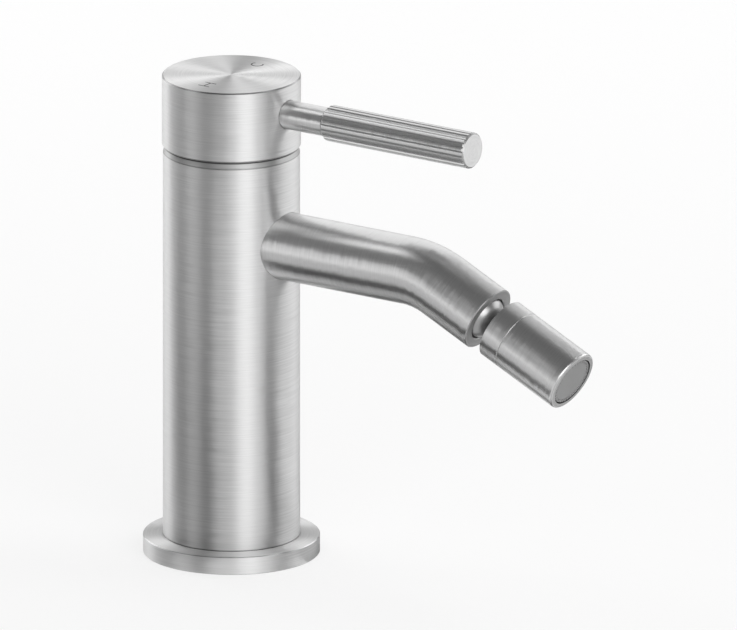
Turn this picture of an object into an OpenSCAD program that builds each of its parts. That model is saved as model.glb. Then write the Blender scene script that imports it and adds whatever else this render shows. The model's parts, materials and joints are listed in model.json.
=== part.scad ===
// Single-lever bidet mixer with a swivelling nozzle, in millimetres.
// The origin is the centre of the flange's underside. +Z is up, the spout and
// the lever point along -Y, and +X is the user's right.

/* [Body] */
// Outside diameter of the body column
body_d = 45; // [44:0.5:60]
// Wall of the column's tube
body_wall = 1.5; // [1:0.25:2]
// Height of the column's top edge above the deck
body_top_z = 136.4; // [125:0.2:180]
// Bevel on the column's outer edges
body_bevel = 0.3; // [0.1:0.05:0.5]

/* [Foot] */
// Diameter of the base flange
flange_d = 58; // [52:1:75]
// Thickness of the base flange
flange_t = 6; // [4:0.5:10]
// Bevel on the flange's outer edges
flange_bevel = 0.25; // [0.1:0.05:1]
// Diameter of the inlet block where it passes through the flange
spigot_d = 30; // [29:0.5:34]
// Height of the inlet block above the flange
block_h = 20; // [16:1:30]
// Sideways distance of each water way from the body's axis
inlet_x = 8.5; // [8:0.1:9.5]
// Distance of both inlets in front of the body's axis
inlet_y = 2; // [0:0.5:3]
// Bore of the hose threads, M10 x 1 less the depth of the thread
inlet_thread_d = 9.2; // [8.6:0.1:10]
// Depth of the hose threads
inlet_thread_len = 12; // [8:1:14]
// Distance of the fixing stud's hole behind the body's axis
stud_y = 9.5; // [8.5:0.1:10]
// Bore of the stud's thread, M8 less the depth of the thread
stud_thread_d = 6.8; // [5:0.1:7]
// Depth of the stud's thread
stud_thread_len = 14; // [8:1:18]
// Inside diameter of the deck gasket
gasket_d = 46; // [40:1:48]
// Width of the deck gasket's section
gasket_w = 3; // [2:0.5:4]
// Thickness of the deck gasket
gasket_t = 1.5; // [1:0.25:2.5]

/* [Water ways] */
// Outside diameter of the inlet tubes
tube_d = 8; // [7:0.5:9]
// Wall of the inlet tubes
tube_wall = 0.8; // [0.5:0.1:1.2]
// Depth to which the tubes are let into the block and the manifold
tube_socket = 8; // [5:0.5:9]
// Diameter of the drilled water ways in the manifold
port_d = 6.4; // [5:0.2:7]
// Distance of the outlet port behind the body's axis
outlet_y = 9; // [8:0.5:9.5]
// Diameter of the level channel that leads to the spout
channel_d = 8; // [6:0.5:8.5]
// Height of the manifold below the cartridge's seat
manifold_h = 18; // [17:0.5:22]
// Section diameter of the two O-rings round the manifold
manifold_oring_d = 1.4; // [1:0.1:1.6]

/* [Cartridge] */
// Nominal diameter of the cartridge
cart_d = 35; // [33:0.5:36]
// Height of the cartridge from its seat to its shoulder
cart_h = 24; // [23:0.5:28]
// Wall of the cartridge housing
cart_wall = 2.6; // [2:0.1:3]
// Thickness of the cartridge's base with its ports
cart_base_t = 3.5; // [3:0.25:4.5]
// Thickness of the fixed ceramic disc
fixed_disc_t = 3; // [2.5:0.25:4]
// Thickness of the moving ceramic disc
moving_disc_t = 3.4; // [3:0.2:4]
// Thickness of the carrier on the moving disc
carrier_t = 5; // [4.5:0.25:5.5]
// Height of the cartridge's neck above its shoulder
neck_h = 9.5; // [7:0.25:10]
// Outside diameter of the cartridge's neck
neck_d = 24.4; // [24:0.1:26]
// Width of the stem across the body
stem_w = 8; // [6:0.25:8.5]
// Thickness of the stem along the lever
stem_t = 7; // [5:0.25:7.5]
// Diameter of the pin that the stem tilts on
stem_pin_d = 3; // [2:0.25:3.5]
// Section diameter of the seals under the cartridge's base
seal_d = 1.6; // [1.2:0.1:2]
// Length of the stem's flat bar below the tilt axis
stem_bar_drop = 4.5; // [3.5:0.25:4.5]
// Diameter of the thread on the cartridge nut
nut_thread_d = 38; // [36.4:0.1:38.5]
// Length of the thread on the cartridge nut
nut_thread_len = 5; // [4.5:0.25:5.5]
// Step in from the column's surface to the nut's collar
nut_step = 5.5; // [5:0.25:6]
// Depth of the tilt axis below the column's top edge
pivot_depth = 5.9; // [5:0.1:8]
// Tilt of the lever from shut to full flow, in degrees
lift_angle = 25; // [15:1:26]

/* [Cap] */
// How far the cap stands out past the column all round
cap_step = 0.3; // [0.1:0.05:0.6]
// Gap between the column's top edge and the cap
cap_gap = 2.1; // [1.9:0.1:3]
// Height of the cap
cap_h = 23.9; // [22.5:0.1:30]
// Width of the cap's rim at its lower edge
cap_rim = 0.7; // [0.6:0.05:1.2]
// Bevel on the cap's top edge
cap_bevel = 0.4; // [0.1:0.05:1]
// Diameter of the boss that takes the stem
boss_d = 16; // [14:0.5:16]
// Height of the boss's lower face above the tilt axis
boss_rise = 15; // [14.25:0.25:16]
// Diameter of the cap's grub screw, M5
grub_d = 5; // [3:0.5:5]
// Length of the cap's grub screw
grub_len = 14; // [12:1:16]
// Height of the trim ring's crown above the column
crown_h = 5.6; // [4.6:0.1:5.8]

/* [Lever] */
// Depth of the lever's axis below the cap's top
lever_drop = 9.9; // [8:0.1:10.5]
// Diameter of the smooth pin
pin_d = 9.6; // [8:0.1:10.8]
// Length of smooth pin between the cap and the grip
pin_show = 15.9; // [8:0.1:30]
// Depth to which the pin is let into the cap
pin_seat = 3.8; // [3:0.1:4.5]
// Width of the seam round the pin where it enters the cap
pin_seam = 0.12; // [0.05:0.01:0.2]
// Diameter of the threaded end that holds the pin in the cap, M6
lever_stud_d = 6; // [4:0.5:6]
// Outside diameter of the fluted grip
grip_d = 12; // [11.4:0.1:16]
// Length of the grip
grip_len = 57.8; // [40:0.1:90]
// Number of flutes round the grip
flute_count = 24; // [16:1:30]
// Depth of the flutes
flute_depth = 0.4; // [0.2:0.05:0.5]
// Bevel on the grip's end
grip_bevel = 0.6; // [0.3:0.05:0.9]

/* [Spout] */
// Outside diameter of the spout
spout_d = 22.4; // [20.4:0.2:25]
// Wall of the spout's tube
spout_wall = 2; // [1.5:0.25:2.25]
// Depth of the spout's axis below the column's top edge
spout_drop = 28.9; // [28:0.1:32]
// Reach from the body's axis to the point where the spout's axes cross
spout_run = 78.1; // [60:0.1:120]
// Bend of the spout below level, in degrees
bend_angle = 25; // [15:1:40]
// Radius of the bend at the tube's centre line
bend_r = 33; // [26:1:50]
// Distance from the crossing point of the axes to the spout's end face
tip_run = 27; // [26.8:0.1:45]
// Rounding of the spout's outer end edge
tip_round = 0.3; // [0.1:0.05:0.5]

/* [Ball joint] */
// Diameter of the swivel ball
ball_d = 16; // [15.6:0.1:16.8]
// Distance of the ball's centre behind the spout's end face
ball_back = 3.8; // [3.4:0.1:4.4]
// How much smaller the opening is than the ball
lip_hold = 0.7; // [0.5:0.05:1]
// Diameter of the ball's neck
ball_neck_d = 8; // [7:0.1:8.4]
// Bore of the ball and its neck
ball_bore_d = 5; // [3:0.25:5.5]
// Section diameter of the O-ring that presses the seat on the ball
seat_oring_d = 2; // [1.6:0.1:2.2]
// Wall of the spout round the socket ring
socket_wall = 0.9; // [0.7:0.05:1.1]

/* [Nozzle] */
// Outside diameter of the nozzle
nozzle_d = 21; // [20:0.2:24]
// Gap between the spout's end face and the nozzle's collar
collar_gap = 5.5; // [4.5:0.1:8]
// Length of the collar
collar_len = 7.3; // [6.5:0.1:12]
// Length of the collar and the sleeve together
nozzle_len = 31.7; // [30:0.1:40]
// Fine bevels on both sides of the seam
seam_bevel = 0.2; // [0.1:0.05:0.3]
// Rounding of the sleeve's front edge
nozzle_round = 0.8; // [0.3:0.1:1]
// Diameter of the opening in the sleeve's front
mouth_d = 17.2; // [16:0.1:18]
// Gap round the aerator's face
aerator_gap = 0.35; // [0.2:0.05:0.5]
// Width of the toothed ring round the aerator's face
face_ring_w = 0.9; // [0.8:0.05:1.4]
// Number of teeth round the aerator's face
tooth_count = 36; // [24:1:48]
// Length of the thread that holds the aerator
aerator_thread_len = 5; // [4:0.5:6]

/* [Fits] */
// Radial clearance of pieces that turn or slide in each other
running_fit = 0.05; // [0.02:0.01:0.08]
// Radial clearance of pieces that are pushed or screwed together
close_fit = 0.05; // [0.02:0.01:0.1]
// Clearance between faces that pass each other
pass_gap = 0.3; // [0.3:0.05:0.4]

/* [Hidden] */
$fn = 96;
// Overshoot of a cutting solid past the face that it cuts
cut = 1;

// Body and foot
body_r = body_d / 2;
shell_r = body_r - body_wall;
core_r = shell_r - close_fit;
flange_r = flange_d / 2;
block_top_z = flange_t + block_h;
thread_relief = 0.5;

// Heights of the cartridge, from the tilt axis down
pivot_z = body_top_z - pivot_depth;
shoulder_z = pivot_z - 0.5;
seat_z = shoulder_z - cart_h;
manifold_z = seat_z - manifold_h;
neck_top_z = shoulder_z + neck_h;
cart_r = cart_d / 2;
chamber_r = cart_r - cart_wall;
disc_port_r = port_d / 2 - 0.4;
fixed_disc_z = seat_z + cart_base_t;
moving_disc_z = fixed_disc_z + fixed_disc_t + running_fit;
carrier_z = moving_disc_z + moving_disc_t;
carrier_top_z = carrier_z + carrier_t;
roof_t = 2.2;
roof_z = shoulder_z - roof_t;
rotor_z = carrier_top_z + 0.8;
rotor_rim_z = roof_z - pass_gap;
rotor_top_z = neck_top_z - pass_gap;

// Stem and the slide of the disc that it drives
stem_ball_d = 5.2;
stem_ball_z = carrier_top_z - stem_ball_d / 2 + 0.8;
stem_arm = pivot_z - stem_ball_z;
disc_stroke = stem_arm * sin(lift_angle);
moving_disc_r = chamber_r - disc_stroke / 2 - pass_gap - 0.15;
disc_rim = 2;
carrier_w = 2 * (moving_disc_r - disc_rim);
rotor_neck_r = neck_d / 2 - 1.8;
stem_bar_z = pivot_z - stem_bar_drop;

// Cap, whose hollow is a sphere about the tilt axis
cap_z = body_top_z + cap_gap;
cap_top_z = cap_z + cap_h;
cap_r = body_r + cap_step;
hollow_r = sqrt(pow(cap_r - cap_rim, 2) + pow(cap_z - pivot_z, 2));
dome_r = hollow_r - pass_gap;
boss_z = pivot_z + boss_rise;
stem_top_z = pivot_z + hollow_r;
nut_collar_r = body_r - nut_step;
nut_collar_z = shoulder_z + nut_thread_len;
nut_top_z = neck_top_z - 0.3;
cup_top_z = nut_collar_z - close_fit;

// Lever, measured along its own axis from the body's axis
lever_z = cap_top_z - lever_drop;
pin_seat_s = cap_r - pin_seat;
lever_stud_len = 5;
grip_s = cap_r + pin_show;
pin_core_d = pin_d - 2.6;
grip_cap_t = 6;

// Spout, measured along its end section from the crossing point of its axes
spout_r = spout_d / 2;
spout_bore_r = spout_r - spout_wall;
spout_z = body_top_z - spout_drop;
bend_run = bend_r * tan(bend_angle / 2);
// The tube's wall is drawn this much thinner, inside and outside, round the bend
bend_draw = 0.02;
channel_z = seat_z - channel_d / 2 - 1;
groove_margin = 4;
groove_levels = [manifold_z + groove_margin, spout_z + spout_r + groove_margin];
ball_r = ball_d / 2;
ball_s = tip_run - ball_back;
cup_r = ball_r + running_fit;
lip_r = ball_r - lip_hold / 2;
socket_bore_r = spout_r - socket_wall;
socket_r = socket_bore_r - close_fit;
socket_back_s = ball_s - 2.5;
seat_front_s = socket_back_s - pass_gap;
seat_back_s = ball_s - ball_r + 0.6;
socket_floor_s = seat_back_s - seat_oring_d - 0.1;

// Nozzle, on the same line
nozzle_r = nozzle_d / 2;
collar_s = tip_run + collar_gap;
seam_s = collar_s + collar_len;
nozzle_end_s = collar_s + nozzle_len;
collar_web_t = 5;
shank_len = 5.2;
shank_r = nozzle_r - 1.5;
sleeve_oring_d = 1.15;
mouth_r = mouth_d / 2;
aerator_r = mouth_r - aerator_gap;
aerator_len = 9.2;
aerator_floor_t = 2;
face_s = nozzle_end_s - 0.2;
aerator_s = face_s - aerator_len;
screen_r = aerator_r - face_ring_w;
washer_t = 1.6;
mouth_floor_s = aerator_s - washer_t - close_fit;

// Points of an arc from angle a to angle b about (x, y), in steps of 15 degrees
function arc(x, y, r, a, b) =
    let (steps = ceil(abs(b - a) / 15))
    [for (i = [0:steps]) [x + r * cos(a + (b - a) * i / steps), y + r * sin(a + (b - a) * i / steps)]];

// Drum from z0 to z1 with a bevel on its lower and its upper edge
module drum(r, z0, z1, low = 0, high = 0) {
    rotate_extrude()
        polygon([
            [0, z0], [r - low, z0], [r, z0 + low], [r, z1 - high], [r - high, z1], [0, z1]
        ]);
}

// Hole or rod from z0 to z1
module rod(r, z0, z1) {
    translate([0, 0, z0])
        cylinder(r = r, h = z1 - z0);
}

// Plain ring from z0 to z1
module ring(r_out, r_in, z0, z1) {
    difference() {
        rod(r_out, z0, z1);
        rod(r_in, z0 - cut, z1 + cut);
    }
}

// O-ring whose section touches r_out
module oring(r_out, d, z) {
    translate([0, 0, z])
        rotate_extrude()
            translate([r_out - d / 2, 0])
                circle(d = d, $fn = 32);
}

// Lays +Z along the lever's axis, away from the body
module along_lever() {
    translate([0, 0, lever_z])
        rotate([90, 0, 0])
            children();
}

// Lays +Z along the spout's level part, away from the body
module along_spout() {
    translate([0, 0, spout_z])
        rotate([90, 0, 0])
            children();
}

// Lays +Z along the spout's end section, from the crossing point of its axes
module along_tip() {
    translate([0, -spout_run, spout_z])
        rotate([90 + bend_angle, 0, 0])
            children();
}

// Places a child at both inlets
module at_inlets() {
    for (side = [-1, 1])
        translate([side * inlet_x, -inlet_y, 0])
            children();
}

// Places a child at the three ports of the cartridge
module at_ports() {
    at_inlets()
        children();
    translate([0, outlet_y, 0])
        children();
}

// Flat round flange with a hole for the inlet block and a groove for the gasket
module base_flange() {
    color("silver")
        difference() {
            drum(flange_r, 0, flange_t, flange_bevel, flange_bevel);
            rod(spigot_d / 2 + close_fit, -cut, flange_t + cut);
            difference() {
                rod(gasket_d / 2 + gasket_w + close_fit, -cut, gasket_t);
                rod(gasket_d / 2 - close_fit, -2 * cut, gasket_t + cut);
            }
        }
}

// Flat rubber ring in the flange's groove, flush with its underside
module deck_gasket() {
    color("dimgray")
        ring(gasket_d / 2 + gasket_w, gasket_d / 2, 0, gasket_t - close_fit);
}

// Block in the column's foot, with two hose threads and the stud's thread
module inlet_block() {
    color("goldenrod")
        difference() {
            union() {
                rod(spigot_d / 2, 0, flange_t + cut);
                rod(core_r, flange_t, block_top_z);
            }
            at_inlets() {
                rod(inlet_thread_d / 2, -cut, inlet_thread_len);
                rod(tube_d / 2 - tube_wall, -cut, block_top_z + cut);
                rod(tube_d / 2 + close_fit, block_top_z - tube_socket, block_top_z + cut);
            }
            translate([0, stud_y, 0])
                rod(stud_thread_d / 2, -cut, stud_thread_len);
        }
}

// Straight water tube between the block and the manifold
module inlet_tube(side) {
    color("peru")
        translate([side * inlet_x, -inlet_y, 0])
            ring(tube_d / 2, tube_d / 2 - tube_wall,
                block_top_z - tube_socket + close_fit, manifold_z + tube_socket - close_fit);
}

module hot_inlet_tube() {
    inlet_tube(-1);
}

module cold_inlet_tube() {
    inlet_tube(1);
}

// Column tube with the hole that the spout is welded into
module body_shell() {
    color("silver")
        difference() {
            drum(body_r, flange_t, body_top_z, body_bevel, body_bevel);
            rod(shell_r, flange_t - cut, body_top_z + cut);
            along_spout()
                rod(spout_r + close_fit, 0, body_r + cut);
        }
}

// Seat and cup of the cartridge, with its inlets and the channel to the spout
module valve_manifold() {
    groove_w = manifold_oring_d + 0.2;
    thread_run = 2;
    color("goldenrod")
        difference() {
            rod(core_r, manifold_z, cup_top_z);
            rod(cart_r + close_fit, seat_z, cup_top_z + cut);
            rod(nut_thread_d / 2, shoulder_z - thread_run, cup_top_z + cut);
            at_inlets() {
                rod(tube_d / 2 + close_fit, manifold_z - cut, manifold_z + tube_socket);
                rod(port_d / 2, manifold_z, seat_z + cut);
            }
            translate([0, outlet_y, 0])
                rod(port_d / 2, channel_z, seat_z + cut);
            translate([0, outlet_y, channel_z])
                rotate([90, 0, 0])
                    cylinder(d = channel_d, h = outlet_y + body_r);
            for (z = groove_levels)
                ring(core_r + cut, core_r - manifold_oring_d, z - groove_w / 2, z + groove_w / 2);
        }
}

// O-rings in the manifold's grooves, one below and one above the spout
module manifold_orings() {
    color("dimgray")
        for (z = groove_levels)
            oring(core_r, manifold_oring_d - close_fit, z);
}

// Cartridge base with three ports and a groove under each of them
module cartridge_base() {
    groove_r = port_d / 2 + seal_d + close_fit;
    color("white")
        difference() {
            rod(cart_r - close_fit, seat_z, fixed_disc_z);
            at_ports() {
                rod(disc_port_r, seat_z - cut, fixed_disc_z + cut);
                rod(groove_r, seat_z - cut, seat_z + seal_d);
            }
        }
}

// Seals between the cartridge's base and the manifold
module base_seals() {
    color("dimgray")
        at_ports()
            oring(port_d / 2 + seal_d, seal_d - close_fit, seat_z + seal_d / 2);
}

// Ceramic disc with the three ports, still in the housing
module fixed_disc() {
    color("gainsboro")
        difference() {
            rod(chamber_r - pass_gap, fixed_disc_z, fixed_disc_z + fixed_disc_t);
            at_ports()
                rod(disc_port_r, fixed_disc_z - cut, fixed_disc_z + fixed_disc_t + cut);
        }
}

// Ceramic disc with the mixing hollow, at its shut place
module moving_disc() {
    hollow_depth = moving_disc_t / 2;
    hollow_front_y = 3;
    hollow_back_y = disc_stroke / 2 + moving_disc_r - disc_rim;
    color("whitesmoke")
        difference() {
            translate([0, disc_stroke / 2, 0])
                rod(moving_disc_r, moving_disc_z, carrier_z);
            intersection() {
                translate([0, disc_stroke / 2, 0])
                    rod(moving_disc_r - disc_rim, moving_disc_z - cut, moving_disc_z + hollow_depth);
                translate([-cart_r, hollow_front_y, moving_disc_z - cut])
                    cube([cart_d, hollow_back_y - hollow_front_y, hollow_depth + cut]);
            }
        }
}

// Plastic carrier that the stem's ball end moves, guided by the rotor's cheeks
module disc_carrier() {
    color("lightgray")
        difference() {
            intersection() {
                translate([0, disc_stroke / 2, 0])
                    rod(moving_disc_r, carrier_z, carrier_top_z);
                translate([-carrier_w / 2, -cart_r, carrier_z - cut])
                    cube([carrier_w, cart_d, carrier_t + 2 * cut]);
            }
            rod(stem_ball_d / 2 + pass_gap + 0.2, stem_ball_z - stem_ball_d / 2 - pass_gap,
                carrier_top_z + cut);
        }
}

// Cartridge casing with its neck
module cartridge_housing() {
    color("white")
        difference() {
            union() {
                rod(cart_r - close_fit, fixed_disc_z, shoulder_z);
                rod(neck_d / 2, shoulder_z - cut, neck_top_z);
            }
            rod(chamber_r, fixed_disc_z - cut, roof_z);
            rod(rotor_neck_r + pass_gap, roof_z - cut, neck_top_z + cut);
        }
}

// Slot that leaves room for the stem's whole tilt, as a side view run across the body
module stem_slot() {
    room = 0.4;
    side = (stem_t / 2 + room) / cos(lift_angle);
    rise = rotor_top_z + cut - pivot_z;
    fall = pivot_z - rotor_z + cut;
    lean = tan(lift_angle);
    width = stem_w + room;
    translate([width / 2, 0, pivot_z])
        rotate([90, 0, -90])
            linear_extrude(height = width)
                polygon([
                    [side, 0], [side, rise], [-side - rise * lean, rise],
                    [-side, 0], [-side, -fall], [side + fall * lean, -fall]
                ]);
}

// Rotor that the lever turns, with two cheeks that guide the carrier
module cartridge_rotor() {
    cheek_z = carrier_z + 0.6;
    color("gray")
        difference() {
            union() {
                rod(chamber_r - pass_gap, rotor_z, rotor_rim_z);
                rod(rotor_neck_r, rotor_rim_z - cut, rotor_top_z);
                difference() {
                    rod(chamber_r - pass_gap, cheek_z, rotor_z + cut);
                    translate([-carrier_w / 2 - running_fit * 2, -cart_r, cheek_z - cut])
                        cube([carrier_w + running_fit * 4, cart_d, rotor_z - cheek_z + cut]);
                }
            }
            stem_slot();
            translate([-cart_r, 0, pivot_z])
                rotate([0, 90, 0])
                    cylinder(d = stem_pin_d, h = cart_d, $fn = 48);
        }
}

// Steel pin that the stem tilts on, held in the rotor's neck
module stem_pin() {
    pin_end_x = rotor_neck_r - 0.5;
    color("silver")
        translate([-pin_end_x, 0, pivot_z])
            rotate([0, 90, 0])
                cylinder(d = stem_pin_d, h = 2 * pin_end_x, $fn = 48);
}

// Stem: a flat bar above the pin, a round arm and a ball end below it
module cartridge_stem() {
    color("goldenrod")
        difference() {
            union() {
                translate([-stem_w / 2, -stem_t / 2, stem_bar_z])
                    cube([stem_w, stem_t, stem_top_z - stem_bar_z]);
                rod(stem_ball_d / 2 - 0.5, stem_ball_z, stem_bar_z + cut);
                translate([0, 0, stem_ball_z])
                    sphere(d = stem_ball_d, $fn = 48);
            }
            translate([-stem_w, 0, pivot_z])
                rotate([0, 90, 0])
                    cylinder(r = stem_pin_d / 2 + running_fit, h = 2 * stem_w, $fn = 48);
        }
}

// Threaded ring that clamps the cartridge, with slots for a pin wrench
module cartridge_nut() {
    slot_w = 3;
    slot_depth = 1.6;
    color("goldenrod")
        difference() {
            union() {
                rod(nut_thread_d / 2 - close_fit, shoulder_z, nut_collar_z);
                rod(nut_collar_r, nut_collar_z - cut, nut_top_z);
            }
            rod(neck_d / 2 + close_fit, shoulder_z - cut, nut_top_z + cut);
            for (turn = [0:60:120])
                rotate([0, 0, turn])
                    translate([-body_d, -slot_w / 2, nut_top_z - slot_depth])
                        cube([2 * body_d, slot_w, slot_depth + cut]);
        }
}

// Domed ring screwed on the nut's collar, with its crown inside the cap
module trim_ring() {
    crown_z = body_top_z + crown_h;
    color("silver")
        difference() {
            intersection() {
                translate([0, 0, pivot_z])
                    sphere(r = dome_r);
                rod(body_r, body_top_z, crown_z);
            }
            rod(nut_collar_r + close_fit, body_top_z - cut, crown_z + cut);
        }
}

// Drum over the cartridge. Its hollow is round about the tilt axis, so that it
// slides over the trim ring as the lever is lifted.
module handle_cap() {
    chamfer_w = 0.5;
    chamfer_h = 0.6;
    color("silver")
        difference() {
            rotate_extrude()
                polygon([
                    [0, cap_z], [cap_r - chamfer_w, cap_z], [cap_r, cap_z + chamfer_h],
                    [cap_r, cap_top_z - cap_bevel], [cap_r - cap_bevel, cap_top_z], [0, cap_top_z]
                ]);
            difference() {
                translate([0, 0, pivot_z])
                    sphere(r = hollow_r);
                rod(boss_d / 2, boss_z, cap_top_z);
            }
            translate([-stem_w / 2 - close_fit, -stem_t / 2 - close_fit, boss_z - cut])
                cube([stem_w + 2 * close_fit, stem_t + 2 * close_fit,
                    stem_top_z + thread_relief - boss_z + cut]);
            along_lever() {
                rod(pin_d / 2 + pin_seam, pin_seat_s, cap_r + cut);
                rod(lever_stud_d / 2, pin_seat_s - lever_stud_len - thread_relief, cap_r);
            }
            grub_place()
                rod(grub_d / 2, 0, cap_r);
        }
}

// Lays +Z from the stem's rear face out through the back of the cap, level with the lever
module grub_place() {
    translate([0, stem_t / 2 + close_fit, lever_z])
        rotate([-90, 0, 0])
            children();
}

// Hexagon-socket grub screw that locks the cap on the stem
module cap_grub_screw() {
    key_d = grub_d / 2 / cos(30);
    key_depth = 3;
    color("dimgray")
        grub_place()
            difference() {
                drum(grub_d / 2 - close_fit, 0, grub_len, 0.5, 0.3);
                translate([0, 0, grub_len - key_depth])
                    cylinder(d = key_d, h = key_depth + cut, $fn = 6);
            }
}

// Smooth lever rod: threaded end, shoulder, and a thinner core inside the grip
module lever_pin() {
    stud_s = pin_seat_s - lever_stud_len;
    core_end_s = grip_s + grip_len - grip_cap_t;
    color("silver")
        along_lever() {
            drum(lever_stud_d / 2 - close_fit, stud_s, pin_seat_s + cut, 0.4);
            drum(pin_d / 2, pin_seat_s, grip_s, 0.2);
            drum(pin_core_d / 2, grip_s - cut, core_end_s, 0, 0.5);
        }
}

// Sleeve with straight flutes, closed at its front end
module lever_grip() {
    grip_r = grip_d / 2;
    end_s = grip_s + grip_len;
    start_bevel = (grip_d - pin_d) / 2;
    groove_side = 2 * flute_depth * sqrt(2);
    color("silver")
        along_lever()
            difference() {
                drum(grip_r, grip_s, end_s, start_bevel, grip_bevel);
                rod(pin_core_d / 2 + close_fit, grip_s - cut, end_s - grip_cap_t);
                for (i = [0:flute_count - 1])
                    rotate([0, 0, (i + 0.5) * 360 / flute_count])
                        translate([grip_r + flute_depth, 0, grip_s - cut])
                            rotate([0, 0, 45])
                                translate([-groove_side / 2, -groove_side / 2, 0])
                                    cube([groove_side, groove_side, grip_len + 2 * cut]);
            }
}

// Curved length of tube that turns the spout down to its end section
module spout_bend() {
    translate([0, bend_run - spout_run, spout_z - bend_r])
        rotate([180, -90, 0])
            rotate_extrude(angle = bend_angle)
                translate([bend_r, 0])
                    difference() {
                        circle(r = spout_r - bend_draw);
                        circle(r = spout_bore_r + bend_draw);
                    }
}

// Bent spout tube, cut to the inside of the column and bored for the socket ring
module spout() {
    color("silver") {
        difference() {
            along_spout()
                ring(spout_r, spout_bore_r, 0, spout_run - bend_run);
            rod(shell_r, spout_z - spout_d, spout_z + spout_d);
        }
        spout_bend();
        along_tip()
            difference() {
                drum(spout_r, bend_run, tip_run, 0, tip_round);
                rod(spout_bore_r, bend_run - cut, tip_run + cut);
                rod(socket_bore_r, socket_floor_s, tip_run + cut);
            }
    }
}

// O-ring behind the seat ring, which presses it on the ball
module seat_oring() {
    color("dimgray")
        along_tip()
            oring(socket_r, seat_oring_d, socket_floor_s + close_fit + seat_oring_d / 2);
}

// Slippery plastic ring behind the ball
module ball_seat_ring() {
    color("white")
        along_tip()
            difference() {
                rod(socket_bore_r - running_fit, seat_back_s, seat_front_s);
                rod(ball_r / 2, seat_back_s - cut, seat_front_s + cut);
                translate([0, 0, ball_s])
                    sphere(r = cup_r);
            }
}

// Hollow ball with the neck that carries the nozzle
module swivel_ball() {
    neck_end_s = collar_s + collar_web_t;
    color("silver")
        along_tip()
            difference() {
                union() {
                    translate([0, 0, ball_s])
                        sphere(r = ball_r);
                    drum(ball_neck_d / 2, ball_s, neck_end_s, 0, 0.3);
                }
                rod(ball_bore_d / 2, ball_s - ball_r - cut, neck_end_s + cut);
            }
}

// Threaded ring, flush with the spout's end face, that holds the ball in
module socket_ring() {
    lip_bevel = 0.35;
    color("silver")
        along_tip()
            difference() {
                rod(socket_r, socket_back_s, tip_run);
                translate([0, 0, ball_s])
                    sphere(r = cup_r);
                rod(lip_r, ball_s, tip_run + cut);
                translate([0, 0, tip_run - lip_bevel])
                    cylinder(r1 = lip_r, r2 = lip_r + 2 * lip_bevel, h = 2 * lip_bevel);
            }
}

// Rear drum of the nozzle, which takes the ball's neck and screws into the sleeve
module nozzle_collar() {
    shank_wall = 2.4;
    shank_end_s = seam_s + shank_len;
    groove_s = seam_s + shank_len / 2;
    groove_w = 1.6;
    color("silver")
        along_tip()
            difference() {
                union() {
                    drum(nozzle_r, collar_s, seam_s, seam_bevel, seam_bevel);
                    drum(shank_r, seam_s - cut, shank_end_s, 0, 0.4);
                }
                rod(ball_neck_d / 2 + running_fit, collar_s - cut, collar_s + collar_web_t + cut);
                rod(shank_r - shank_wall, collar_s + collar_web_t, shank_end_s + cut);
                ring(shank_r + cut, shank_r - sleeve_oring_d - close_fit,
                    groove_s - groove_w / 2, groove_s + groove_w / 2);
            }
}

// O-ring between the collar's shank and the sleeve
module sleeve_oring() {
    color("dimgray")
        along_tip()
            oring(shank_r, sleeve_oring_d, seam_s + shank_len / 2);
}

// Front drum of the nozzle, which holds the aerator
module nozzle_sleeve() {
    ledge_w = 2.2;
    waist_s = seam_s + shank_len + 0.4;
    edge = arc(nozzle_r - nozzle_round, nozzle_end_s - nozzle_round, nozzle_round, 0, 90);
    profile = concat([[0, seam_s], [nozzle_r - seam_bevel, seam_s], [nozzle_r, seam_s + seam_bevel]],
        edge, [[0, nozzle_end_s]]);
    color("silver")
        along_tip()
            difference() {
                rotate_extrude()
                    polygon(profile);
                rod(shank_r + close_fit, seam_s - cut, waist_s);
                rod(mouth_r - ledge_w, waist_s - cut, mouth_floor_s + cut);
                rod(mouth_r, mouth_floor_s, nozzle_end_s + cut);
            }
}

// Flat rubber ring behind the aerator
module aerator_washer() {
    washer_w = 3;
    color("dimgray")
        along_tip()
            ring(mouth_r - close_fit, mouth_r - washer_w, mouth_floor_s, mouth_floor_s + washer_t);
}

// Plastic plate with holes that evens the flow
module flow_regulator() {
    plate_s = aerator_s + aerator_floor_t;
    plate_t = 2;
    hole_r = 0.8;
    hole_ring_r = aerator_r / 2;
    color("lightgray")
        along_tip()
            difference() {
                rod(screen_r - close_fit, plate_s, plate_s + plate_t);
                for (turn = [0:45:315])
                    rotate([0, 0, turn])
                        translate([hole_ring_r, 0, 0])
                            rod(hole_r, plate_s - cut, plate_s + plate_t + cut, $fn = 24);
            }
}

// Cup of the aerator, held in the sleeve by a thread behind its toothed face ring
module aerator_housing() {
    ledge_w = 1;
    tooth_gap = 0.45;
    tooth_depth = 0.2;
    color("lightgray")
        along_tip()
            difference() {
                union() {
                    rod(mouth_r - close_fit, aerator_s, aerator_s + aerator_thread_len);
                    drum(aerator_r, aerator_s + aerator_thread_len - cut, face_s, 0, 0.15);
                }
                rod(screen_r, aerator_s + aerator_floor_t, face_s + cut);
                rod(screen_r - ledge_w, aerator_s - cut, face_s);
                for (i = [0:tooth_count - 1])
                    rotate([0, 0, i * 360 / tooth_count])
                        translate([screen_r - cut, -tooth_gap / 2, face_s - tooth_depth])
                            cube([face_ring_w + 2 * cut, tooth_gap, tooth_depth + cut]);
            }
}

// Fine screen in the aerator's mouth
module aerator_screen() {
    screen_t = 1.2;
    recess = 0.1;
    color("gray")
        along_tip()
            drum(screen_r - close_fit, face_s - recess - screen_t, face_s - recess, 0, 0.1);
}

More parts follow.
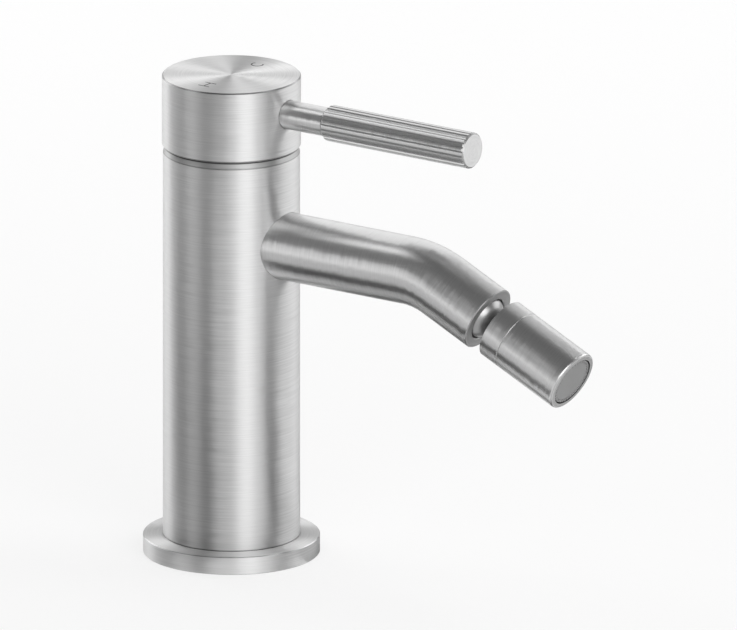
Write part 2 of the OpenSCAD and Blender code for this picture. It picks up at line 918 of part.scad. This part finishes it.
base_flange();
deck_gasket();
inlet_block();
hot_inlet_tube();
cold_inlet_tube();
body_shell();
valve_manifold();
manifold_orings();
cartridge_base();
base_seals();
fixed_disc();
moving_disc();
disc_carrier();
cartridge_housing();
cartridge_rotor();
stem_pin();
cartridge_stem();
cartridge_nut();
trim_ring();
handle_cap();
cap_grub_screw();
lever_pin();
lever_grip();
spout();
seat_oring();
ball_seat_ring();
swivel_ball();
socket_ring();
nozzle_collar();
sleeve_oring();
nozzle_sleeve();
aerator_washer();
flow_regulator();
aerator_housing();
aerator_screen();
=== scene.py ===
"""Looks of the bidet mixer: camera, floor and lamps first, then each piece in the order
in which the mixer is put together, from the deck up and then out along the spout.
All lengths are in metres, in the frame of the solids: +Z up, the spout along -Y."""

import json
import math

import bmesh
import bpy
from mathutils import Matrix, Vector


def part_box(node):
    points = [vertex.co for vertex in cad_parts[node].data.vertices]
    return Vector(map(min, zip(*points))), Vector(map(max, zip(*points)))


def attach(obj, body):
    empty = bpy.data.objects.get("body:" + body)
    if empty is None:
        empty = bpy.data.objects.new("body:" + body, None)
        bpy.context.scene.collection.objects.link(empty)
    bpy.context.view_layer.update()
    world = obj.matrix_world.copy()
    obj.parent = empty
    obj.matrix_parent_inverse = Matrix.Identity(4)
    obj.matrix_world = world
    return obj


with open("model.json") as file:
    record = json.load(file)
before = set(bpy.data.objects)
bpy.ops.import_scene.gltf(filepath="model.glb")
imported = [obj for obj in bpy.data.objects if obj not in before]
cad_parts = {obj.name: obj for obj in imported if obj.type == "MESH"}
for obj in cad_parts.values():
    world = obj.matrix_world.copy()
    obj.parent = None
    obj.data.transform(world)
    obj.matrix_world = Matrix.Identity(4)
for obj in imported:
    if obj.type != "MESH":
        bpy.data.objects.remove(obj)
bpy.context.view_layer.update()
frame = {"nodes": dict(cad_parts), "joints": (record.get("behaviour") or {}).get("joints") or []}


# Camera
# A parallel view from 55 degrees to the left of the spout and 16.35 degrees above level.
# The photograph has 737 by 630 pixels at 3.0538 pixels to the millimetre, and the foot's
# centre lies at pixel (231, 549.66).

mm = 0.001
view_azimuth = math.radians(55)
view_elevation = math.radians(16.35)
to_camera = Vector((
    -math.sin(view_azimuth) * math.cos(view_elevation),
    -math.cos(view_azimuth) * math.cos(view_elevation),
    math.sin(view_elevation)))
view_right = Vector((math.cos(view_azimuth), -math.sin(view_azimuth), 0))
view_up = to_camera.cross(view_right)

pixels_per_mm = 3.0538
frame_pixels = (737, 630)
foot_pixel = (231, 549.66)
camera_distance = 1.5
off_right = (frame_pixels[0] / 2 - 0.5 - foot_pixel[0]) / pixels_per_mm * mm
off_up = (foot_pixel[1] - frame_pixels[1] / 2 + 0.5) / pixels_per_mm * mm
view_centre = view_right * off_right + view_up * off_up

camera_data = bpy.data.cameras.new("photo_camera")
camera_data.type = "ORTHO"
camera_data.ortho_scale = frame_pixels[0] / pixels_per_mm * mm
camera_data.clip_end = 20
camera = bpy.data.objects.new("photo_camera", camera_data)
bpy.context.scene.collection.objects.link(camera)
camera.location = view_centre + to_camera * camera_distance
camera.rotation_euler = to_camera.to_track_quat("Z", "Y").to_euler()
bpy.context.scene.camera = camera
bpy.context.scene.view_settings.view_transform = "Standard"


# Floor
# A plain white table, which keeps the mixer's soft shadow and shows white in the metal.
# This section also holds the shader maths: a Wire is one output of a node, arithmetic on
# it adds Math nodes, and every other node comes from its method "node".

class Wire:
    def __init__(self, socket):
        self.socket = socket
        self.tree = socket.id_data

    def node(self, kind, settings=None, sockets=None, out=0):
        return add_node(self.tree, kind, settings, sockets, out)

    def maths(self, operation, *values):
        return self.node("ShaderNodeMath", {"operation": operation}, dict(enumerate(values)))

    def __add__(self, other):
        return self.maths("ADD", self, other)

    __radd__ = __add__

    def __sub__(self, other):
        return self.maths("SUBTRACT", self, other)

    def __rsub__(self, other):
        return self.maths("SUBTRACT", other, self)

    def __mul__(self, other):
        return self.maths("MULTIPLY", self, other)

    __rmul__ = __mul__

    def __truediv__(self, other):
        return self.maths("DIVIDE", self, other)

    def __abs__(self):
        return self.maths("ABSOLUTE", self)

    def vector(self, operation, *values, out=0):
        return self.node("ShaderNodeVectorMath", {"operation": operation},
                         dict(enumerate((self,) + values)), out)

    def scaled(self, factor):
        return self.node("ShaderNodeVectorMath", {"operation": "SCALE"},
                         {0: self, "Scale": factor})

    def blend(self, low, high):
        """The colour that goes from low to high as this value goes from 0 to 1."""
        return self.node("ShaderNodeMix", {"data_type": "RGBA"}, {0: self, 6: low, 7: high}, 2)


def add_node(tree, kind, settings=None, sockets=None, out=0):
    """Adds a node of this kind, sets its settings first, then fills or links its sockets."""
    made = tree.nodes.new(kind)
    for name, value in (settings or {}).items():
        setattr(made, name, value)
    for key, value in (sockets or {}).items():
        if isinstance(value, Wire):
            tree.links.new(value.socket, made.inputs[key])
        else:
            made.inputs[key].default_value = value
    return Wire(made.outputs[out])


def new_material(name):
    """An empty material and its tree."""
    made = bpy.data.materials.new(name)
    made.use_nodes = True
    made.node_tree.nodes.clear()
    return made, made.node_tree


def end_tree(tree, shader):
    """Leads a shader to the output of its tree."""
    output = tree.nodes.new("ShaderNodeOutputMaterial")
    tree.links.new(shader.socket, output.inputs["Surface"])


def finish_material(tree, sockets):
    """Ends a material's tree in one Principled shader with these socket values."""
    end_tree(tree, add_node(tree, "ShaderNodeBsdfPrincipled", None, sockets))


def grey(level):
    return (level, level, level, 1)


floor_width = 8
floor_gap = 0.1 * mm  # keeps the floor and the flange's underside out of one plane
floor_glow = 0.7      # the share of plain white that the camera and the metal see

bpy.ops.object.select_all(action="DESELECT")
bpy.ops.mesh.primitive_plane_add(size=floor_width, location=(0, 0, -floor_gap))
floor = bpy.context.object
floor.name = "floor"
floor_paint, tree = new_material("floor_paint")
seen = add_node(tree, "ShaderNodeLightPath", out=0)
mirrored = Wire(seen.socket.node.outputs["Is Glossy Ray"])
through_glass = Wire(seen.socket.node.outputs["Is Transmission Ray"])
paint_shader = add_node(tree, "ShaderNodeBsdfPrincipled", None,
                        {"Base Color": grey(0.95), "Roughness": 0.9, "Specular IOR Level": 0.2})
glow = add_node(tree, "ShaderNodeEmission", None, {"Color": grey(1), "Strength": 1.0})
white_share = (seen + mirrored + through_glass) * floor_glow
end_tree(tree, add_node(tree, "ShaderNodeMixShader", None,
                        {0: white_share, 1: paint_shader, 2: glow}))
floor.data.materials.append(floor_paint)


# Light
# Soft boxes in a dim white room: wide ones in front of the mixer and behind it, narrower
# ones to both sides, and two small ones high up. Their straight edges give brushed metal
# its bands.

room_strength = 0.16
lamp_aim = Vector((0, 0, 0.08))

world = bpy.data.worlds.new("studio")
bpy.context.scene.world = world
world.use_nodes = True
room = world.node_tree.nodes["Background"]
room.inputs["Color"].default_value = grey(1)
room.inputs["Strength"].default_value = room_strength


def away_from_mixer(turn, rise):
    """Direction at turn degrees to the right of the camera and rise degrees above level."""
    turned = view_azimuth + math.pi - math.radians(turn)
    level = Vector((math.sin(turned), math.cos(turned), 0))
    return level * math.cos(math.radians(rise)) + Vector((0, 0, math.sin(math.radians(rise))))


def add_lamp(name, turn, rise, distance, width, height, strength):
    """A soft box that faces the mixer from this distance, with this width and height.
    strength is the brightness of its face."""
    away = away_from_mixer(turn, rise)
    lamp_data = bpy.data.lights.new(name, "AREA")
    lamp_data.shape = "RECTANGLE"
    lamp_data.size = width
    lamp_data.size_y = height
    lamp_data.energy = strength * width * height * math.pi
    lamp = bpy.data.objects.new(name, lamp_data)
    bpy.context.scene.collection.objects.link(lamp)
    lamp.location = lamp_aim + away * distance
    lamp.rotation_euler = away.to_track_quat("Z", "Y").to_euler()
    lamp.visible_camera = False


add_lamp("front", 13, 18, 1.2, 2.15, 0.66, 2.2)
add_lamp("front_strip", 24, 19, 1.2, 0.60, 0.70, 2.1)
add_lamp("back_right", 116, 21, 1.2, 1.35, 0.58, 2.3)
add_lamp("high_right", 94, 57, 1.2, 0.45, 0.36, 2.2)
add_lamp("back", 179, 32, 1.3, 1.20, 1.40, 1.1)
add_lamp("back_left", -137, 27, 1.2, 0.66, 0.95, 2.2)
add_lamp("left", -66, 9, 1.2, 0.56, 0.64, 1.1)
add_lamp("high_left", -106, 55, 1.2, 0.40, 0.32, 2.2)


# Flags
# Matt cards that only reflections see. A grey one stands in an arc to the left of the
# mixer, and black, grey and pale ones lie round it on the table. Brushed metal shows them
# as the darker and lighter lines between its bands.

def card_paint(name, level):
    """The matt paint of a card, at this level of grey."""
    made, tree = new_material(name)
    finish_material(tree, {"Base Color": grey(level), "Roughness": 0.9})
    return made


card_black = card_paint("card_black", 0.03)
card_grey = card_paint("card_grey", 0.22)
card_pale = card_paint("card_pale", 0.86)


def finish_card(card, name, material):
    """Names a card, gives it its paint and shows it to reflections only."""
    card.name = name
    card.data.materials.append(material)
    card.visible_camera = False
    card.visible_diffuse = False
    card.visible_shadow = False


def add_arc_card(name, turn_from, turn_to):
    """A standing card, bent round the mixer between two turns from the camera, with its
    lower edge above the cap."""
    radius = 0.22
    height = 0.15
    lower_edge = 0.18
    middle = Vector((0, -0.05, lower_edge + height / 2))
    bpy.ops.object.select_all(action="DESELECT")
    bpy.ops.mesh.primitive_cylinder_add(vertices=72, radius=radius, depth=height,
                                        end_fill_type="NOTHING", location=middle)
    card = bpy.context.object
    bpy.ops.object.transform_apply(location=True)
    bpy.ops.object.mode_set(mode="EDIT")
    bpy.ops.mesh.select_mode(type="FACE")
    card_mesh = bmesh.from_edit_mesh(card.data)
    for face in card_mesh.faces:
        out = Vector(face.calc_center_median()) - middle
        turn = math.degrees(math.atan2(out.dot(view_right), out.cross(view_right).z))
        face.select_set(not turn_from < turn < turn_to)
    bmesh.update_edit_mesh(card.data)
    bpy.ops.mesh.delete(type="FACE")
    bpy.ops.object.mode_set(mode="OBJECT")
    finish_card(card, name, card_grey)


def add_flat_card(name, place, size, material):
    """A card that lies half a millimetre above the table."""
    lift = 0.5 * mm
    bpy.ops.object.select_all(action="DESELECT")
    bpy.ops.mesh.primitive_plane_add(size=1, location=(place[0], place[1], lift))
    card = bpy.context.object
    card.scale = (size[0], size[1], 1)
    bpy.ops.object.transform_apply(location=True, scale=True)
    finish_card(card, name, material)


add_arc_card("card_left", -122, -20)
add_flat_card("card_under_spout", (0.020, -0.08), (0.036, 0.13), card_black)
add_flat_card("card_by_foot", (-0.086, 0.025), (0.088, 0.17), card_black)
add_flat_card("card_beside_foot", (0.064, 0.018), (0.072, 0.052), card_black)
add_flat_card("card_left_far", (-0.34, 0.25), (0.36, 0.50), card_pale)
add_flat_card("card_behind", (-0.075, 0.15), (0.06, 0.11), card_black)
add_flat_card("card_ahead", (0.13, -0.15), (0.10, 0.16), card_grey)


# Base flange
# A disc turned from grade 304 stainless bar and brushed round its axis. The column stands
# in its middle. The brushing is a field of fine rings: each tone and lean of the surface
# runs a little way round, so the metal smears what it reflects across the rings.

nodes = frame["nodes"]
steel_colour = 0.67


def paint(material, *node_names):
    """Puts one material on all of these solids."""
    for name in node_names:
        for slot in nodes[name].material_slots:
            slot.material = material


def object_place(tree):
    return add_node(tree, "ShaderNodeTexCoord", out=3)


def height_of(tree):
    """The height of a point above the deck, in metres, when the handle is at rest."""
    return object_place(tree).vector("DOT_PRODUCT", (0, 0, 1), out=1)


def near(value, centre, reach):
    """1 where a value is at the centre, falling to 0 at this reach from it."""
    return value.maths("MAXIMUM", 1 - abs(value - centre) * (1 / reach), 0.0)


def along_axis(tree, dip, through, arc=0):
    """Rings round an axis that dips below -Y by this many radians through a point. With an
    arc, the axis turns about the point at that radius, and dip is then a wire. Gives the
    axis, the direction out from it, and the three numbers that a ring pattern reads."""
    least = 1e-12  # keeps a point on the axis from a division by zero
    offset = object_place(tree).vector("SUBTRACT", tuple(through))
    side = offset.vector("DOT_PRODUCT", (1, 0, 0), out=1)
    if isinstance(dip, Wire):
        sine = dip.maths("SINE", dip)
        cosine = dip.maths("COSINE", dip)
        way = dip.node("ShaderNodeCombineXYZ", None, {1: cosine * -1, 2: sine * -1})
        rise = dip.node("ShaderNodeCombineXYZ", None, {1: sine * -1, 2: cosine})
    else:
        way = add_node(tree, "ShaderNodeCombineXYZ", None,
                       {1: -math.cos(dip), 2: -math.sin(dip)})
        rise = add_node(tree, "ShaderNodeCombineXYZ", None,
                        {1: -math.sin(dip), 2: math.cos(dip)})
    up = offset.vector("DOT_PRODUCT", rise, out=1) - arc
    along = offset.vector("DOT_PRODUCT", way, out=1)
    if arc:
        along = along + dip * arc
    radius = side.maths("SQRT", side * side + up * up + least)
    side = side / radius
    up = up / radius
    ray = rise.scaled(up).vector("ADD", add_node(tree, "ShaderNodeCombineXYZ", None, {0: side}))
    return way, ray, (along + radius, side, up)


def brushed(tree, axis, colour, sockets, fan=(0,), streak=(0.38 * mm, 0.20), painted_shade=None,
            bevel=None, face=None):
    """Adds rings and streaks, and ends in the shader. fan lists the leans of the normal
    across the rings, as slopes, which the shader takes in equal shares. streak is the
    rings' pitch and their sideways lean. The painted-shade argument is 1 where shade is
    painted into the colour, darkening the metal nearly to black. bevel and face give the
    roughness and the tone, as a share, of bevels and of faces square to the axis, where
    these are not the side's; that tone is painted light or shade, the colour made lighter
    or darker than the side's."""
    streak_change = 10 / 7  # how much the streaks change in a radian round the ring
    tone_change = 0.14      # how far they stray from the metal's tone
    across_lean = 0.12      # how far they tip the surface across the rings
    # how dark painted shade makes the metal
    painted_shade_level = 0.02
    bevel_slope = (0.7, 0.22)  # a surface's lean towards the axis, and how far it may stray
    face_slope = (1.0, 0.06)

    way, ray, (path, side, up) = axis
    pitch, ring_lean = streak
    rings = path.node("ShaderNodeCombineXYZ", None,
                      {0: path * (1 / pitch), 1: side * streak_change, 2: up * streak_change})
    streaks = path.node("ShaderNodeTexNoise", {"noise_dimensions": "3D"},
                        {"Vector": rings, "Scale": 1.0, "Detail": 2.0, "Roughness": 0.6})
    normal = add_node(tree, "ShaderNodeTexCoord", out=1)
    ring_way = way.vector("CROSS_PRODUCT", ray)
    across_way = normal.vector("CROSS_PRODUCT", ring_way)
    swayed = normal.vector("ADD", ring_way.scaled((streaks - 0.5) * ring_lean))

    if not isinstance(colour, tuple):
        colour = (colour, colour, colour)
    tone = streaks.blend(tuple(part * (1 - tone_change) for part in colour) + (1,),
                         tuple(min(1, part * (1 + tone_change)) for part in colour) + (1,))
    # painted shade: the colour goes towards near-black where the painted-shade mask is 1
    if painted_shade is not None:
        tone = painted_shade.blend(tone, grey(painted_shade_level))
    sockets = dict(sockets)
    side_roughness = sockets["Roughness"]
    slope = abs(normal.vector("DOT_PRODUCT", way, out=1))
    # painted light and shade: bevels and faces get a colour lighter or darker than the side's
    for finish, (steepness, stray) in ((bevel, bevel_slope), (face, face_slope)):
        if finish is not None:
            roughness, painted_light_share = finish
            here = slope.maths("COMPARE", slope, steepness, stray)
            sockets["Roughness"] = here * (roughness - side_roughness) + sockets["Roughness"]
            tone = here.blend(tone, tone.scaled(painted_light_share))

    mixed = None
    for number, lean in enumerate(fan):
        tipped = across_way.scaled((streaks - 0.5) * across_lean + lean)
        tilted = swayed.vector("ADD", tipped)
        world_normal = tilted.node("ShaderNodeVectorTransform",
                                   {"vector_type": "NORMAL", "convert_from": "OBJECT",
                                    "convert_to": "WORLD"}, {0: tilted})
        lobe = add_node(tree, "ShaderNodeBsdfPrincipled", None,
                        {"Base Color": tone, "Metallic": 1.0, "Normal": world_normal,
                         **sockets})
        if mixed is None:
            mixed = lobe
        else:
            mixed = add_node(tree, "ShaderNodeMixShader", None,
                             {0: 1 / (number + 1), 1: mixed, 2: lobe})
    end_tree(tree, mixed)


upright = -math.pi / 2
upright_brushing = {"Roughness": 0.50, "Anisotropic": 0.95, "Anisotropic Rotation": 0.25}
flange_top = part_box("base_flange")[1].z
flange_steel, tree = new_material("flange_steel")
# painted shade: the bevel's colour and, a little, the top face's are darker than the side's
brushed(tree, along_axis(tree, upright, (0, 0, 0)), steel_colour, upright_brushing,
        bevel=(0.32, 0.70), face=(0.62, 0.93))
paint(flange_steel, "base_flange")


# Deck gasket and the other rubber pieces
# Black nitrile, moulded: the flat gasket under the flange, the O-rings on the manifold,
# under the cartridge, behind the ball seat and in the nozzle, and the aerator's washer.
# The skin is dull and slightly uneven, with the grain of the mould.

def blotches(place, size, detail):
    """Noise with blotches of about this size."""
    return place.node("ShaderNodeTexNoise", None,
                      {"Vector": place, "Scale": 1 / size, "Detail": detail})


def relief_of(height, strength, depth):
    """The normal of a surface with this relief."""
    return height.node("ShaderNodeBump", None,
                       {"Strength": strength, "Distance": depth, "Height": height})


def moulded(name, colour, grain, roughness, relief):
    """A cast or moulded surface: two sizes of mottling, fine grain and uneven gloss."""
    broad_grain = 6 * mm
    darkest = 0.82
    lightest = 1.12
    gloss_change = 0.25
    made, tree = new_material(name)
    place = object_place(tree)
    fine = blotches(place, grain, 3.0)
    mottle = fine * 0.4 + blotches(place, broad_grain, 2.0) * 0.6
    tone = mottle.blend(tuple(part * darkest for part in colour) + (1,),
                        tuple(min(1, part * lightest) for part in colour) + (1,))
    finish_material(tree, {"Base Color": tone, "Normal": relief_of(fine, 0.35, relief),
                           "Roughness": (mottle - 0.5) * gloss_change + roughness})
    return made


rubber = moulded("nitrile_rubber", (0.030, 0.030, 0.032), 0.20 * mm, 0.62, 0.02 * mm)
paint(rubber, "deck_gasket", "manifold_orings", "base_seals", "seat_oring", "sleeve_oring",
      "aerator_washer")


# Inlet block and valve manifold
# Turned from brass bar. The block under the column takes the two hoses and the fixing
# stud, and the manifold under the cartridge leads the water up to it and back down.
# The tool leaves fine rings, which catch the light on the block's lower face.

brass_colour = (0.72, 0.54, 0.28)
turned_brass, tree = new_material("turned_brass")
brushed(tree, along_axis(tree, upright, (0, 0, 0)), brass_colour,
        {"Roughness": 0.36, "Anisotropic": 0.6, "Anisotropic Rotation": 0.25})
paint(turned_brass, "inlet_block", "valve_manifold")


# Inlet tubes
# Drawn copper, brazed into the block and the manifold. Drawing leaves lines along the
# tube, and the brazing heat leaves brown stains.

def lines_along(place, per_metre):
    """Fine tool lines, from how often they change in a metre along X, Y and Z."""
    drawn = place.node("ShaderNodeMapping", None, {"Vector": place, "Scale": per_metre})
    return blotches(drawn, 1, 2.0)


line_strength = 0.3
line_depth = 0.01 * mm
stain_size = 1 / 90
copper, tree = new_material("drawn_copper")
place = object_place(tree)
lines = lines_along(place, (4000, 4000, 40))
clean = lines.blend((0.66, 0.37, 0.25, 1), (0.84, 0.52, 0.38, 1))
brown = near(blotches(place, stain_size, 3.0), 0.75, 0.25)
finish_material(tree, {"Base Color": brown.blend(clean, (0.36, 0.17, 0.10, 1)),
                       "Metallic": 1.0, "Roughness": brown * 0.25 + 0.26,
                       "Normal": relief_of(lines, line_strength, line_depth)})
paint(copper, "hot_inlet_tube", "cold_inlet_tube")


# Column
# Stainless tube with a hole in front for the spout, brushed round. Its top edge has a
# small bevel. Painted shade: a faint dark line is painted where it meets the trim ring,
# and a darker one at its foot on the flange.

column_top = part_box("body_shell")[1].z
top_shade_reach = 0.28 * mm
foot_shade_reach = 0.6 * mm


def painted_shade_at_top(height):
    """Painted shade: a faint dark line where the column meets the trim ring."""
    return near(height, column_top, top_shade_reach) * 0.5


column_steel, tree = new_material("column_steel")
height = height_of(tree)
# painted shade at the column's top edge and at its foot
painted_shade = painted_shade_at_top(height) + near(height, flange_top, foot_shade_reach) * 0.9
brushed(tree, along_axis(tree, upright, (0, 0, 0)), steel_colour, upright_brushing, painted_shade=painted_shade)
paint(column_steel, "body_shell")


# Cartridge
# A 35 mm cartridge: moulded base, carrier, housing and rotor in off-white plastic, two
# lapped ceramic discs that slide on each other, and a turned steel pin through the brass
# stem, which the cap sits on.

cartridge_plastic = moulded("cartridge_plastic", (0.80, 0.80, 0.77), 0.12 * mm, 0.45, 0.01 * mm)
paint(cartridge_plastic, "cartridge_base", "disc_carrier", "cartridge_housing",
      "cartridge_rotor")

lapped_ceramic = moulded("lapped_ceramic", (0.86, 0.85, 0.82), 0.05 * mm, 0.20, 0.002 * mm)
paint(lapped_ceramic, "fixed_disc", "moving_disc")

pin_steel, tree = new_material("pin_steel")
lines = lines_along(object_place(tree), (5000, 60, 60))
finish_material(tree, {"Base Color": lines.blend(grey(0.36), grey(0.52)), "Metallic": 1.0,
                       "Roughness": lines * 0.2 + 0.25,
                       "Normal": relief_of(lines, line_strength, line_depth)})
paint(pin_steel, "stem_pin")

stem_brass, tree = new_material("stem_brass")
cast = blotches(object_place(tree), 0.4 * mm, 4.0)
finish_material(tree, {"Base Color": cast.blend((0.58, 0.42, 0.20, 1), (0.78, 0.60, 0.32, 1)),
                       "Metallic": 1.0, "Roughness": cast * 0.2 + 0.30,
                       "Normal": relief_of(cast, 0.4, 0.02 * mm)})
paint(stem_brass, "cartridge_stem")


# Cartridge nut
# Turned brass ring, screwed into the column over the cartridge's shoulder, with the same
# tool marks as the block.

paint(turned_brass, "cartridge_nut")


# Trim ring
# Thin stainless ring on top of the column, which the cap's rim passes over when the handle
# lifts. Its steel is painted darker than the column's, as painted shade from the cap, and a
# near-black band of painted shade lies on its upper edge under the cap's rim.

cap_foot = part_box("handle_cap")[0].z
shade_drop = 0.05 * mm
shade_reach = 0.6 * mm
shade_depth = 1.6
# painted shade: the ring's steel is darker than the column's
trim_shaded_colour = 0.52
trim_steel, tree = new_material("trim_steel")
height = height_of(tree)
# painted shade: a near-black band just under the cap's rim
painted_shade_under_cap = near(height, cap_foot - shade_drop, shade_reach) * shade_depth
painted_shade = height.maths("MINIMUM", painted_shade_under_cap, 1.0) + painted_shade_at_top(height)
brushed(tree, along_axis(tree, upright, (0, 0, 0)), trim_shaded_colour, upright_brushing,
        painted_shade=painted_shade)
paint(trim_steel, "trim_ring")


# Handle cap
# Turned from stainless bar: the side is brushed round like the column, and the top is
# faced on the lathe, so light falls on it in wedges. The bevel between the two is left as
# turned; its colour is painted darker, as painted shade, and the top's colour is painted a
# little lighter than the side's, as painted light.

cap_steel, tree = new_material("cap_steel")
# painted shade on the bevel and painted light on the top face
brushed(tree, along_axis(tree, upright, (0, 0, 0)), steel_colour, upright_brushing,
        bevel=(0.34, 0.45), face=(0.80, 1.12))
paint(cap_steel, "handle_cap")


# Hot and cold marks
# A plain H and C, marked with a laser on the cap's top: dark strokes about half a
# millimetre wide and too thin to feel.

mark_height = 4.3 * mm
mark_width = 4.5 * mm
mark_stroke = 0.46 * mm
mark_depth = 0.04 * mm
mark_side = 14.3 * mm
mark_front = 0.3 * mm
laser_dot = 0.08 * mm
cap_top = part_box("handle_cap")[1].z

laser_grey, tree = new_material("laser_grey")
dots = blotches(object_place(tree), laser_dot, 1.0)
finish_material(tree, {"Base Color": dots.blend(grey(0.03), grey(0.09)),
                       "Roughness": dots * 0.2 + 0.55})


def finish_mark(name):
    """Gives the flat outline in edit mode its thickness and puts it on the handle."""
    bpy.ops.mesh.select_all(action="SELECT")
    bpy.ops.mesh.extrude_region_move(
        TRANSFORM_OT_translate={"value": (0, 0, mark_depth)})
    bpy.ops.mesh.select_all(action="SELECT")
    bpy.ops.mesh.normals_make_consistent(inside=False)
    bpy.ops.object.mode_set(mode="OBJECT")
    mark = bpy.context.object
    mark.name = name
    bpy.ops.object.transform_apply(location=True, rotation=True, scale=True)
    mark.data.materials.append(laser_grey)
    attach(mark, "handle")


hot_place = Vector((-mark_side, -mark_front, cap_top - mark_depth / 2))
bpy.ops.object.select_all(action="DESELECT")
bpy.ops.mesh.primitive_grid_add(x_subdivisions=3, y_subdivisions=3, size=1, location=hot_place)
hot_mark = bpy.context.object
hot_mark.scale = (mark_width, mark_height, 1)
bpy.ops.object.transform_apply(location=False, rotation=False, scale=True)
bpy.ops.object.mode_set(mode="EDIT")
bpy.ops.mesh.select_mode(type="FACE")
outline = bmesh.from_edit_mesh(hot_mark.data)
for face in outline.faces:
    middle = face.calc_center_median()
    face.select_set(abs(middle.x) < mark_width / 6 and abs(middle.y) > mark_height / 6)
bmesh.update_edit_mesh(hot_mark.data)
bpy.ops.mesh.delete(type="FACE")
bpy.ops.mesh.select_mode(type="VERT")
for way, third, wanted in ((0, mark_width / 6, mark_width / 2 - mark_stroke),
                           (1, mark_height / 6, mark_stroke / 2)):
    bpy.ops.mesh.select_all(action="DESELECT")
    outline = bmesh.from_edit_mesh(hot_mark.data)
    for vertex in outline.verts:
        vertex.select_set(abs(vertex.co[way]) < 2 * third)
    bmesh.update_edit_mesh(hot_mark.data)
    factors = [1, 1, 1]
    factors[way] = wanted / third
    bpy.ops.transform.resize(value=factors, center_override=hot_place)
finish_mark("hot_mark")

cold_place = Vector((mark_side, -mark_front, cap_top - mark_depth / 2))
cold_radius = mark_height / 2
cold_mouth = math.radians(48)
bpy.ops.object.select_all(action="DESELECT")
bpy.ops.mesh.primitive_circle_add(vertices=60, radius=cold_radius, fill_type="NOTHING",
                                  location=cold_place)
cold_mark = bpy.context.object
bpy.ops.object.mode_set(mode="EDIT")
bpy.ops.mesh.select_mode(type="VERT")
bpy.ops.mesh.select_all(action="DESELECT")
outline = bmesh.from_edit_mesh(cold_mark.data)
for vertex in outline.verts:
    vertex.select_set(vertex.co.x > cold_radius * math.cos(cold_mouth))
bmesh.update_edit_mesh(cold_mark.data)
bpy.ops.mesh.delete(type="VERT")
bpy.ops.mesh.select_all(action="SELECT")
bpy.ops.mesh.extrude_edges_move()
inner = 1 - mark_stroke / cold_radius
bpy.ops.transform.resize(value=(inner, inner, 1), center_override=cold_place)
finish_mark("cold_mark")


# Grub screw
# A hardened steel socket screw in the back of the cap, which clamps the cap on the stem.
# Plain steel, darkened by its hardening, and a little oily.

screw_steel, tree = new_material("screw_steel")
scale_marks = blotches(object_place(tree), 0.3 * mm, 4.0)
finish_material(tree, {"Base Color": scale_marks.blend(grey(0.10), grey(0.24)),
                       "Metallic": 1.0, "Roughness": scale_marks * 0.3 + 0.25})
paint(screw_steel, "cap_grub_screw")


# Lever
# A stainless pin screwed into the cap, and a grip with milled flutes pressed on it. Both
# are brushed round their own axis. The leans of the shader spread the light along it.

tube_steel = 0.585
tube_fan = (-0.10, -0.05, 0, 0.05, 0.10)
tube_brushing = {"Roughness": 0.28}
tube_streak = (0.48 * mm, 0.22)
lever_z = sum(corner.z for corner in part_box("lever_pin")) / 2
lever_steel, tree = new_material("lever_steel")
# painted light and shade: the bevels' colour is darker and the end faces' lighter than the
# side's
brushed(tree, along_axis(tree, 0, (0, 0, lever_z)), tube_steel, tube_brushing, tube_fan,
        bevel=(0.45, 0.6), face=(0.55, 1.25))
paint(lever_steel, "lever_pin", "lever_grip")


# Spout
# Stainless tube, bent by 25 degrees and let into the column. The brushing follows the
# bend: level near the column, round the bend's centre, then down along the tip.

bend = math.radians(25)
bend_radius = 33 * mm
bend_centre = (0, -70.784 * mm, 74.5 * mm)
spout_steel, tree = new_material("spout_steel")
offset = object_place(tree).vector("SUBTRACT", bend_centre)
ahead = offset.vector("DOT_PRODUCT", (0, -1, 0), out=1)
above = offset.vector("DOT_PRODUCT", (0, 0, 1), out=1)
dip = above.node("ShaderNodeClamp", None,
                 {0: above.maths("ARCTAN2", ahead, above), 1: 0.0, 2: bend})
# painted shade: the bevels' and end faces' colour is darker than the side's
brushed(tree, along_axis(tree, dip, bend_centre, bend_radius), tube_steel, tube_brushing,
        tube_fan, tube_streak, bevel=(0.34, 0.55), face=(0.55, 0.9))
paint(spout_steel, "spout")


# Ball seat
# A ring of slippery white plastic behind the ball, pressed on it by an O-ring.

seat_plastic = moulded("seat_plastic", (0.74, 0.74, 0.71), 0.15 * mm, 0.38, 0.01 * mm)
paint(seat_plastic, "ball_seat_ring")


# Swivel ball
# Brass, turned with its neck in one piece, polished and plated with chrome. Use has left
# fine wipe marks on it, and the plating is a little less bright than a mirror.

ball_chrome, tree = new_material("ball_chrome")
wiped = blotches(object_place(tree), 1.5 * mm, 4.0)
finish_material(tree, {"Base Color": wiped.blend(grey(0.30), grey(0.38)), "Metallic": 1.0,
                       "Roughness": wiped * 0.12 + 0.31})
paint(ball_chrome, "swivel_ball")


# Socket ring, collar and sleeve
# The ring is screwed into the spout's end and holds the ball. The collar is screwed on the
# ball's neck, and the sleeve with the aerator on the collar. All are stainless, brushed
# round the line of the spout's tip.

joints = {joint["name"]: joint for joint in frame["joints"]}
ball_centre = Vector(joints["nozzle_swing"]["pos_m"])
tip_steel, tree = new_material("tip_steel")
# painted shade: the bevels' and end faces' colour is darker than the side's, which dims the rim
# and the seam between collar and sleeve
brushed(tree, along_axis(tree, bend, ball_centre), tube_steel, tube_brushing, tube_fan,
        tube_streak, bevel=(0.34, 0.78), face=(0.55, 0.9))
paint(tip_steel, "socket_ring", "nozzle_collar", "nozzle_sleeve")


# Aerator
# Moulded in grey plastic: a housing with a toothed ring for the key, a screen in front and
# a flow regulator behind. Only the screen and the ring show in the sleeve's mouth.

aerator_plastic = moulded("aerator_plastic", (0.24, 0.24, 0.24), 0.10 * mm, 0.50, 0.01 * mm)
paint(aerator_plastic, "flow_regulator", "aerator_housing", "aerator_screen")
